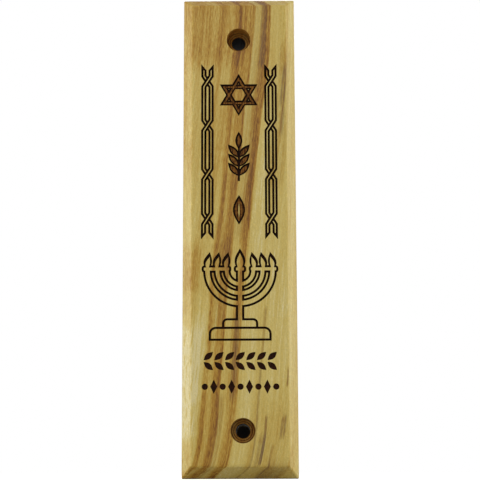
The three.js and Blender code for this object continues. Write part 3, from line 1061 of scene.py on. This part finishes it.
def chamber_cutter(material):
    return slot_along_z(lambda y: CHAMBER_RADIUS, (CHAMBER_FLOOR, GROOVE_FLOOR + PAST),
                        CHAMBER_LOW + CHAMBER_RADIUS, CHAMBER_HIGH - CHAMBER_RADIUS, True,
                        material)


def shade_by_angle(piece):
    """Smooth over the rounded edges and flat elsewhere, the large faces setting the shading."""
    mesh = piece.data
    mesh.shade_smooth()
    mesh.set_sharp_from_angle(angle=math.radians(SMOOTH_ANGLE))
    modifier = piece.modifiers.new("even_shading", "WEIGHTED_NORMAL")
    modifier.keep_sharp = True
    modifier.weight = 100
    return settled(piece)


def make_case(group):
    wood = olive_material(group, "olive_wood")
    bored = bored_material(group)
    routed = routed_material(group)
    line = burnt_material("burnt_line", colour(84, 40, 8), CHAR_AND_HOLE_SHADE, 0.2)
    fill = burnt_material("burnt_fill", colour(60, 30, 8), colour(134, 88, 34), 0.9)
    solid = burnt_material("burnt_solid", colour(64, 28, 6), colour(32, 12, 3), 0.5)
    case = case_blank(wood)
    cut(case, groove_cutter(routed), chamber_cutter(routed))
    cut(case, *(screw_hole_cutter(centre, bored) for centre in SCREW_HOLES))
    cut(case, *engraving_cutters(row_tree(), line, fill, solid))
    shade_by_angle(case)
    attach(case, "case", "case_body")


# ---- The cover ----


def make_cover(group):
    wood = olive_material(group, "cover_wood", shift=-5.0)
    bored = bored_material(group)
    cover = slot_along_z(cover_half, (cover_low.y, cover_high.y), GROOVE_END, cover_high.z, False,
                         wood)
    cover.name = "sliding_cover"
    work = bmesh.new()
    work.from_mesh(cover.data)
    sharp = [edge for edge in work.edges if edge.calc_face_angle(0) > math.radians(SHARP_ANGLE)]
    round_edges(work, sharp, COVER_ARRIS, COVER_ARRIS_STEPS)
    work.to_mesh(cover.data)
    work.free()
    upper, _ = SCREW_HOLES
    inner = cover_low.y - PAST
    outer = cover_high.y
    mouth = COVER_HOLE_RADIUS + COVER_HOLE_BEVEL
    hole = round_along_y(upper, [(COVER_HOLE_RADIUS, inner),
                                 (COVER_HOLE_RADIUS, outer - COVER_HOLE_BEVEL),
                                 (mouth, outer), (mouth, outer + PAST)], bored)
    cut(cover, hole, notch_cutter(wood))
    shade_by_angle(cover)
    attach(cover, "cover", "back_cover")


def notch_cutter(material):
    """The thumb notch: a drum laid across the cover, its ends rounded."""
    centre = (cover_high.y + NOTCH_RADIUS - NOTCH_DEPTH, NOTCH_HEIGHT)
    side = [(NOTCH_HALF_WIDTH - inset, NOTCH_RADIUS - drop) for inset, drop in NOTCH_ROUNDING]
    profile = [(-x, radius) for x, radius in side] + side[::-1]
    rings = [[(x, y, z) for y, z in circle(centre, radius)] for x, radius in profile]
    return piece_of(skinned(rings), "notch", material)


# ---- The scroll ----


def rolled_tree():
    """A sheet rolled on an upright axis: a spiral swept by the sheet's cut end."""
    inputs = dict.fromkeys(("Turns", "Inner", "Outer", "Thickness", "Height", "Uneven"), "Float")
    inputs = {"Sheet": "Geometry", **inputs, "Middle": "Vector", "Finish": "Material"}
    nodes, given, result = new_group("rolled_sheet", inputs, {"Roll": "Geometry"},
                                     "GeometryNodeTree")
    spiral = nodes.add("GeometryNodeCurveSpiral", {
        "Resolution": ROUND_STEPS, "Rotations": given["Turns"], "Start Radius": given["Inner"],
        "End Radius": given["Outer"], "Height": 0.0})
    upright = nodes.add("GeometryNodeSetCurveNormal", {"Curve": spiral}, mode="Z_UP")
    share = nodes.add("GeometryNodeSplineParameter").outputs["Factor"]
    kept = nodes.add("GeometryNodeStoreNamedAttribute",
                     {"Geometry": upright, "Name": "along", "Value": share},
                     data_type="FLOAT", domain="POINT")
    section = nodes.add("GeometryNodeCurvePrimitiveQuadrilateral",
                        {"Width": given["Thickness"], "Height": given["Height"]})
    fine = nodes.add("GeometryNodeResampleCurve",
                     {"Curve": section, "Length": SHEET_STEP}, mode="LENGTH")
    swept = nodes.add("GeometryNodeCurveToMesh",
                      {"Curve": kept, "Profile Curve": fine, "Fill Caps": True})
    along = nodes.add("GeometryNodeInputNamedAttribute", {"Name": "along"}, data_type="FLOAT")
    lifted = nodes.noise(nodes.vector(nodes.times(along, SHEET_WAVES), 0.0, 0.0))
    rise = nodes.times(nodes.minus(lifted, 0.5), given["Uneven"])
    inputs = {0: given["Middle"], 1: nodes.vector(0.0, 0.0, rise)}
    moved = nodes.add("ShaderNodeVectorMath", inputs, operation="ADD")
    placed = nodes.add("GeometryNodeSetPosition", {"Geometry": swept, "Offset": moved})
    return finished_tree(nodes, placed, given["Finish"], result)


def parchment_material():
    """Calf parchment with scored rulings and the faint follicles of the hair side."""
    material, nodes, shader = new_material("parchment")
    place = place_in_mm(nodes)
    ruling = nodes.math("FRACT", nodes.math("DIVIDE", nodes.parts(place)["Z"], RULING_PITCH))
    scored = nodes.range(nodes.math("ABSOLUTE", nodes.minus(ruling, 0.5)), 0.03, 0.0)
    clouds = nodes.noise(place, scale=0.35, detail=4.0)
    follicles = nodes.range(nodes.noise(place, scale=6.0, detail=1.0), 0.62, 0.72)
    skin = nodes.mix(nodes.range(clouds, 0.35, 0.65), colour(236, 224, 192), colour(222, 202, 158))
    skin = nodes.mix(nodes.times(follicles, 0.3), skin, colour(186, 158, 112))
    skin = nodes.mix(nodes.times(scored, 0.4), skin, colour(190, 168, 124))
    nodes.fill(shader, {"Base Color": skin, "Roughness": nodes.range(clouds, 0.3, 0.7, 0.55, 0.75),
                        "Subsurface Weight": 0.1, "Subsurface Scale": 0.3 * MM})
    height = nodes.minus(nodes.plus(clouds, follicles), scored)
    bump(nodes, shader, height, 0.04, 0.5)
    return material


def film_material():
    """Thin clear film, slightly crinkled, and whiter at glancing angles as painted reflection."""
    material, nodes, shader = new_material("clear_film")
    inputs = {"Vector": place_in_mm(nodes), "Scale": (1.0, 1.0, 0.25)}
    stretched = nodes.add("ShaderNodeMapping", inputs).outputs[0]
    crinkle = nodes.noise(stretched, scale=0.9, detail=3.0, roughness=0.6)
    # Painted reflection: the white film grows more opaque where the Fresnel term rises, at glancing
    # angles.
    rim = nodes.add("ShaderNodeFresnel", {"IOR": FILM_IOR}).outputs[0]
    nodes.fill(shader, {"Base Color": colour(240, 246, 246), "Roughness": 0.08, "IOR": FILM_IOR,
                        "Alpha": nodes.range(rim, 0.0, 0.5, 0.14, 0.75, smooth=False)})
    bump(nodes, shader, crinkle, 0.5, 0.6)
    return material


def make_roll(name, material, tree, low, high, thickness, turns, pitch, uneven):
    """A rolled sheet that fills the box between two corners."""
    outer = (high.x - low.x) / 2 - thickness / 2
    middle = (low + high) / 2
    piece = show(bpy.data.meshes.new(name), name)
    return grow_with(piece, tree, Turns=turns, Inner=outer - pitch * turns, Outer=outer,
                     Thickness=thickness, Height=high.z - low.z - uneven, Middle=middle,
                     Uneven=uneven, Finish=material)


def make_scroll():
    tree = rolled_tree()
    scroll = make_roll("parchment_roll", parchment_material(), tree, roll_low, roll_high,
                       PARCHMENT_THICKNESS, ROLL_TURNS, ROLL_PITCH, PARCHMENT_UNEVEN)
    sleeve = make_roll("film_sleeve", film_material(), tree, sleeve_low, sleeve_high,
                       FILM_THICKNESS, FILM_TURNS, FILM_PITCH, 0.0)
    for piece, node, slot in ((scroll, "parchment_scroll", "parchment"),
                              (sleeve, "scroll_sleeve", "clear_film")):
        piece.data.shade_smooth()
        piece.data.set_sharp_from_angle(angle=math.radians(SHARP_ANGLE))
        attach(piece, "scroll", node)


# ---- Floor, light and camera ----

# The stage, in metres and watts.
FLOOR_REACH = 3.0
FLOOR_GREY = 0.45
FLOOR_GLOW = 0.75
POST_INSET = 1.0  # in millimetres, from the case's outline
WORLD_LIGHT = 0.62
SOFTBOXES = {  # each one's place, width and power
    "left_softbox": ((-0.5, -0.04, 0.05), 0.45, 1.25),
    "right_softbox": ((0.5, -0.04, 0.05), 0.45, 1.1),
    "front_softbox": ((-0.15, -0.6, 0.35), 0.4, 0.7),
    "back_softbox": ((0.1, 0.5, 0.35), 0.4, 1.6),
}

# The camera, in millimetres and degrees.
CAMERA_PLACE = (2.906, -317.606, -58.604)
CAMERA_YAW = 0.527
CAMERA_PITCH = 10.488
CAMERA_ROLL = 0.164
CAMERA_LENS = 94.4
CAMERA_SENSOR = 36


def is_camera_ray(nodes):
    return nodes.add("ShaderNodeLightPath").outputs["Is Camera Ray"]


def stage_panel(name, corners, material):
    mesh = bpy.data.meshes.new(name)
    mesh.from_pydata(corners, [], [range(len(corners))])
    mesh.materials.append(material)
    show(mesh, name)


def make_floor():
    reach = FLOOR_REACH
    low = BOTTOM * MM
    material, nodes, shader = new_material("pale_floor")
    nodes.fill(shader, {"Base Color": (FLOOR_GREY, FLOOR_GREY, FLOOR_GREY, 1), "Roughness": 0.9,
                        "Emission Color": (1, 1, 1, 1),
                        "Emission Strength": nodes.times(is_camera_ray(nodes), FLOOR_GLOW)})
    stage_panel("floor", [(-reach, -reach, low), (reach, -reach, low), (reach, reach, low),
                          (-reach, reach, low)], material)


def make_post():
    """The doorpost's surface behind the screw holes, near black as painted shade. Only the camera
    sees it, from the front.
    """
    half = HALF_WIDTH - POST_INSET
    low = BOTTOM + POST_INSET
    high = TOP - POST_INSET
    corners = [Vector((x, BACK + POST_GAP, z)) * MM
               for x, z in ((half, low), (half, high), (-half, high), (-half, low))]
    material, nodes, shader = new_material("doorpost_painted_shade")
    # Painted shade: the near-black colour that shows through the screw holes.
    nodes.put(shader.inputs["Base Color"], colour(30, 22, 18))
    behind = nodes.add("ShaderNodeNewGeometry").outputs["Backfacing"]
    clear = nodes.add("ShaderNodeBsdfTransparent").outputs[0]
    hidden = nodes.math("MAXIMUM", behind, nodes.minus(1.0, is_camera_ray(nodes)))
    inputs = {0: hidden, 1: shader.outputs[0], 2: clear}
    either = nodes.add("ShaderNodeMixShader", inputs).outputs[0]
    nodes.put(material.node_tree.nodes["Material Output"].inputs["Surface"], either)
    stage_panel("doorpost", corners, material)


def make_light(name, place, size, power):
    data = bpy.data.lights.new(name, "AREA")
    data.shape = "DISK"
    data.size = size
    data.energy = power
    light = show(data, name)
    light.location = place
    light.rotation_euler = (-Vector(place)).to_track_quat("-Z", "Y").to_euler()


def make_world():
    """White to the camera, and softer as light."""
    world = bpy.data.worlds.new("studio")
    world.use_nodes = True
    nodes = Nodes(world.node_tree)
    background = world.node_tree.nodes["Background"]
    strength = nodes.range(is_camera_ray(nodes), 0, 1, WORLD_LIGHT, 1.0, smooth=False)
    nodes.fill(background, {"Color": (1, 1, 1, 1), "Strength": strength})
    bpy.context.scene.world = world


def make_camera():
    data = bpy.data.cameras.new("camera")
    data.lens = CAMERA_LENS
    data.sensor_width = CAMERA_SENSOR
    data.clip_start = 0.01
    data.clip_end = 20
    camera = show(data, "camera")
    yaw = Matrix.Rotation(math.radians(CAMERA_YAW), 4, "Z")
    pitch = Matrix.Rotation(math.radians(CAMERA_PITCH), 4, "X")
    roll = Matrix.Rotation(math.radians(CAMERA_ROLL), 4, "Y")
    turn = yaw @ pitch @ roll @ Matrix.Rotation(UP, 4, "X")
    camera.matrix_world = Matrix.Translation(Vector(CAMERA_PLACE) * MM) @ turn
    bpy.context.scene.camera = camera


# ---- The scene ----

make_camera()
make_floor()
make_post()
make_world()
for light_name, light_values in SOFTBOXES.items():
    make_light(light_name, *light_values)
bpy.context.scene.view_settings.view_transform = "Standard"

wood_figure = wood_group()
make_case(wood_figure)
make_cover(wood_figure)
make_scroll()

bpy.context.view_layer.update()
